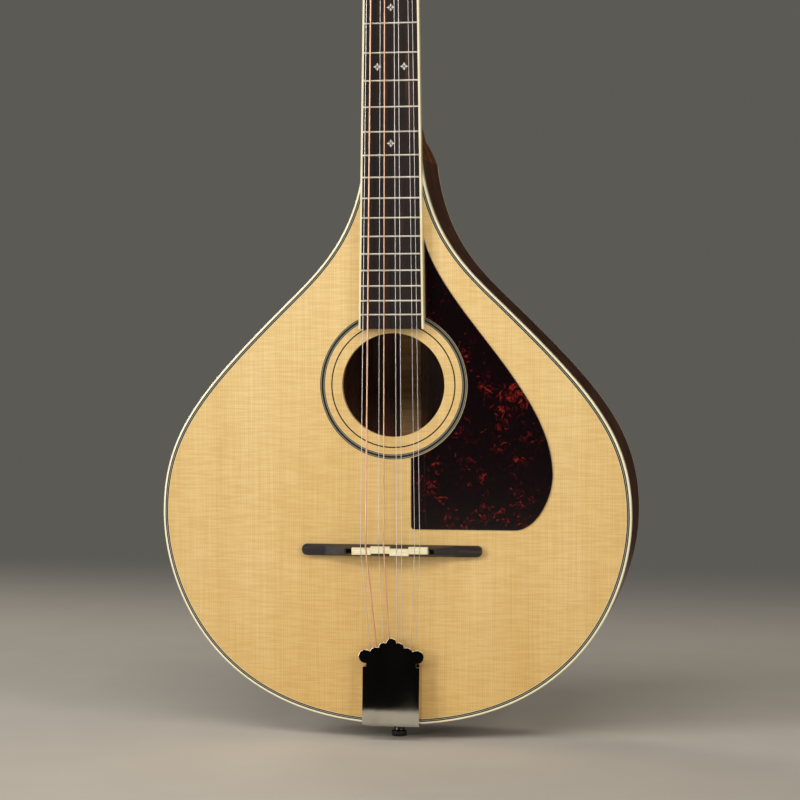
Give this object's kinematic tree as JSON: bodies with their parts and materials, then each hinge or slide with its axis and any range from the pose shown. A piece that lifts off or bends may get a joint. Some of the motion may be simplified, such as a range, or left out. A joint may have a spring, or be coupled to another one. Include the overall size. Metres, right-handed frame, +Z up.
{
  "type": "bouzouki",
  "caption": "Flat-top long-necked bouzouki with a teardrop body, round sound hole, floating bridge, tailpiece and geared tuners.",
  "frame": {"origin": "middle of the end pin's outer face, at the tail", "axes": "+X to the right seen from the front, +Y from the soundboard to the back, +Z up the neck to the headstock"},
  "size_m": [0.3386, 0.0956, 0.947],
  "materials": {
    "spruce_top": "clear gloss lacquer",
    "mahogany": "stained, gloss lacquer",
    "inner_wood": "bare",
    "rosewood": "oiled",
    "ebony": "satin",
    "cream_binding": "lacquered",
    "line_inlay": "lacquered",
    "tortoise": "polished, red and black",
    "black_plastic": "polished",
    "fret_wire": "polished",
    "pearl": "pearl",
    "bone": "polished bone",
    "rod_steel": "plain",
    "brass": "plain",
    "string_steel": "bright",
    "string_bronze": "wound",
    "nickel": "polished nickel",
    "tuner_button": "pearloid button on a nickel shaft",
    "post_nickel": "nickel"
  },
  "bodies": {
    "instrument": {"soundboard": "spruce_top", "back_plate": "mahogany", "rib_bass": "mahogany", "rib_treble": "mahogany", "lining_top": "inner_wood", "lining_back": "inner_wood", "neck_block": "inner_wood", "tail_block": "inner_wood", "top_braces": "inner_wood", "back_braces": "inner_wood", "back_strip": "inner_wood", "soundhole_ring": "inner_wood", "top_binding": "cream_binding", "top_purfling": "line_inlay", "back_binding": "cream_binding", "rosette_rings": "line_inlay", "pickguard": "tortoise", "end_graft": "rosewood", "end_pin": "black_plastic", "neck": "mahogany", "heel_cap": "rosewood", "headplate": "rosewood", "fingerboard": "rosewood", "fingerboard_binding": "cream_binding", "fingerboard_wedge": "rosewood", "frets": "fret_wire", "fret_markers": "pearl", "side_dots": "black_plastic", "nut": "bone", "truss_rod": "rod_steel", "truss_rod_cover": "black_plastic", "cover_screws": "nickel", "bridge": "ebony", "saddle": "bone", "strings_plain": "string_steel", "strings_wound": "string_bronze", "tailpiece_base": "nickel", "tailpiece_screws": "nickel", "tuner_plate_bass": "nickel", "tuner_plate_treble": "nickel", "tuner_plate_screws": "nickel", "tuner_ferrules": "nickel"},
    "cover": {"tailpiece_cover": "nickel"},
    "rod_nut": {"truss_rod_nut": "brass"},
    "key_1": {"tuner_key_1": "tuner_button"},
    "post_1": {"string_post_1": "post_nickel"},
    "key_2": {"tuner_key_2": "tuner_button"},
    "post_2": {"string_post_2": "post_nickel"},
    "key_3": {"tuner_key_3": "tuner_button"},
    "post_3": {"string_post_3": "post_nickel"},
    "key_4": {"tuner_key_4": "tuner_button"},
    "post_4": {"string_post_4": "post_nickel"},
    "key_5": {"tuner_key_5": "tuner_button"},
    "post_5": {"string_post_5": "post_nickel"},
    "key_6": {"tuner_key_6": "tuner_button"},
    "post_6": {"string_post_6": "post_nickel"},
    "key_7": {"tuner_key_7": "tuner_button"},
    "post_7": {"string_post_7": "post_nickel"},
    "key_8": {"tuner_key_8": "tuner_button"},
    "post_8": {"string_post_8": "post_nickel"}
  },
  "joints": [
    {"name": "cover_slide", "type": "slide", "parent": "instrument", "child": "cover", "axis": [0, -0.0872, 0.9962], "range_m": [0, 0.012]},
    {"name": "rod_nut_turn", "type": "hinge", "parent": "instrument", "child": "rod_nut", "pos_m": [0, -0.00673, 0.81383], "axis": [0, 0.0157, 0.9999], "range_deg": [-180, 180]},
    {"name": "key_1_turn", "type": "hinge", "parent": "instrument", "child": "key_1", "pos_m": [-0.019, 0.01331, 0.83815], "axis": [1, 0, 0], "continuous": true},
    {"name": "post_1_turn", "type": "hinge", "parent": "instrument", "child": "post_1", "pos_m": [-0.019, -0.00665, 0.83488], "axis": [0, 0.9664, -0.2571], "continuous": true},
    {"name": "key_2_turn", "type": "hinge", "parent": "instrument", "child": "key_2", "pos_m": [-0.019, 0.02051, 0.86521], "axis": [1, 0, 0], "continuous": true},
    {"name": "post_2_turn", "type": "hinge", "parent": "instrument", "child": "post_2", "pos_m": [-0.019, 0.00055, 0.86193], "axis": [0, 0.9664, -0.2571], "continuous": true},
    {"name": "key_3_turn", "type": "hinge", "parent": "instrument", "child": "key_3", "pos_m": [-0.019, 0.02771, 0.89227], "axis": [1, 0, 0], "continuous": true},
    {"name": "post_3_turn", "type": "hinge", "parent": "instrument", "child": "post_3", "pos_m": [-0.019, 0.00775, 0.88899], "axis": [0, 0.9664, -0.2571], "continuous": true},
    {"name": "key_4_turn", "type": "hinge", "parent": "instrument", "child": "key_4", "pos_m": [-0.019, 0.03491, 0.91933], "axis": [1, 0, 0], "continuous": true},
    {"name": "post_4_turn", "type": "hinge", "parent": "instrument", "child": "post_4", "pos_m": [-0.019, 0.01495, 0.91605], "axis": [0, 0.9664, -0.2571], "continuous": true},
    {"name": "key_5_turn", "type": "hinge", "parent": "instrument", "child": "key_5", "pos_m": [0.019, 0.01331, 0.83815], "axis": [1, 0, 0], "continuous": true},
    {"name": "post_5_turn", "type": "hinge", "parent": "instrument", "child": "post_5", "pos_m": [0.019, -0.00665, 0.83488], "axis": [0, 0.9664, -0.2571], "continuous": true},
    {"name": "key_6_turn", "type": "hinge", "parent": "instrument", "child": "key_6", "pos_m": [0.019, 0.02051, 0.86521], "axis": [1, 0, 0], "continuous": true},
    {"name": "post_6_turn", "type": "hinge", "parent": "instrument", "child": "post_6", "pos_m": [0.019, 0.00055, 0.86193], "axis": [0, 0.9664, -0.2571], "continuous": true},
    {"name": "key_7_turn", "type": "hinge", "parent": "instrument", "child": "key_7", "pos_m": [0.019, 0.02771, 0.89227], "axis": [1, 0, 0], "continuous": true},
    {"name": "post_7_turn", "type": "hinge", "parent": "instrument", "child": "post_7", "pos_m": [0.019, 0.00775, 0.88899], "axis": [0, 0.9664, -0.2571], "continuous": true},
    {"name": "key_8_turn", "type": "hinge", "parent": "instrument", "child": "key_8", "pos_m": [0.019, 0.03491, 0.91933], "axis": [1, 0, 0], "continuous": true},
    {"name": "post_8_turn", "type": "hinge", "parent": "instrument", "child": "post_8", "pos_m": [0.019, 0.01495, 0.91605], "axis": [0, 0.9664, -0.2571], "continuous": true}
  ],
  "couplings": [
    {"joint": "post_1_turn", "follows": "key_1_turn", "ratio": 0.0625},
    {"joint": "post_2_turn", "follows": "key_2_turn", "ratio": 0.0625},
    {"joint": "post_3_turn", "follows": "key_3_turn", "ratio": 0.0625},
    {"joint": "post_4_turn", "follows": "key_4_turn", "ratio": 0.0625},
    {"joint": "post_5_turn", "follows": "key_5_turn", "ratio": -0.0625},
    {"joint": "post_6_turn", "follows": "key_6_turn", "ratio": -0.0625},
    {"joint": "post_7_turn", "follows": "key_7_turn", "ratio": -0.0625},
    {"joint": "post_8_turn", "follows": "key_8_turn", "ratio": -0.0625}
  ]
}
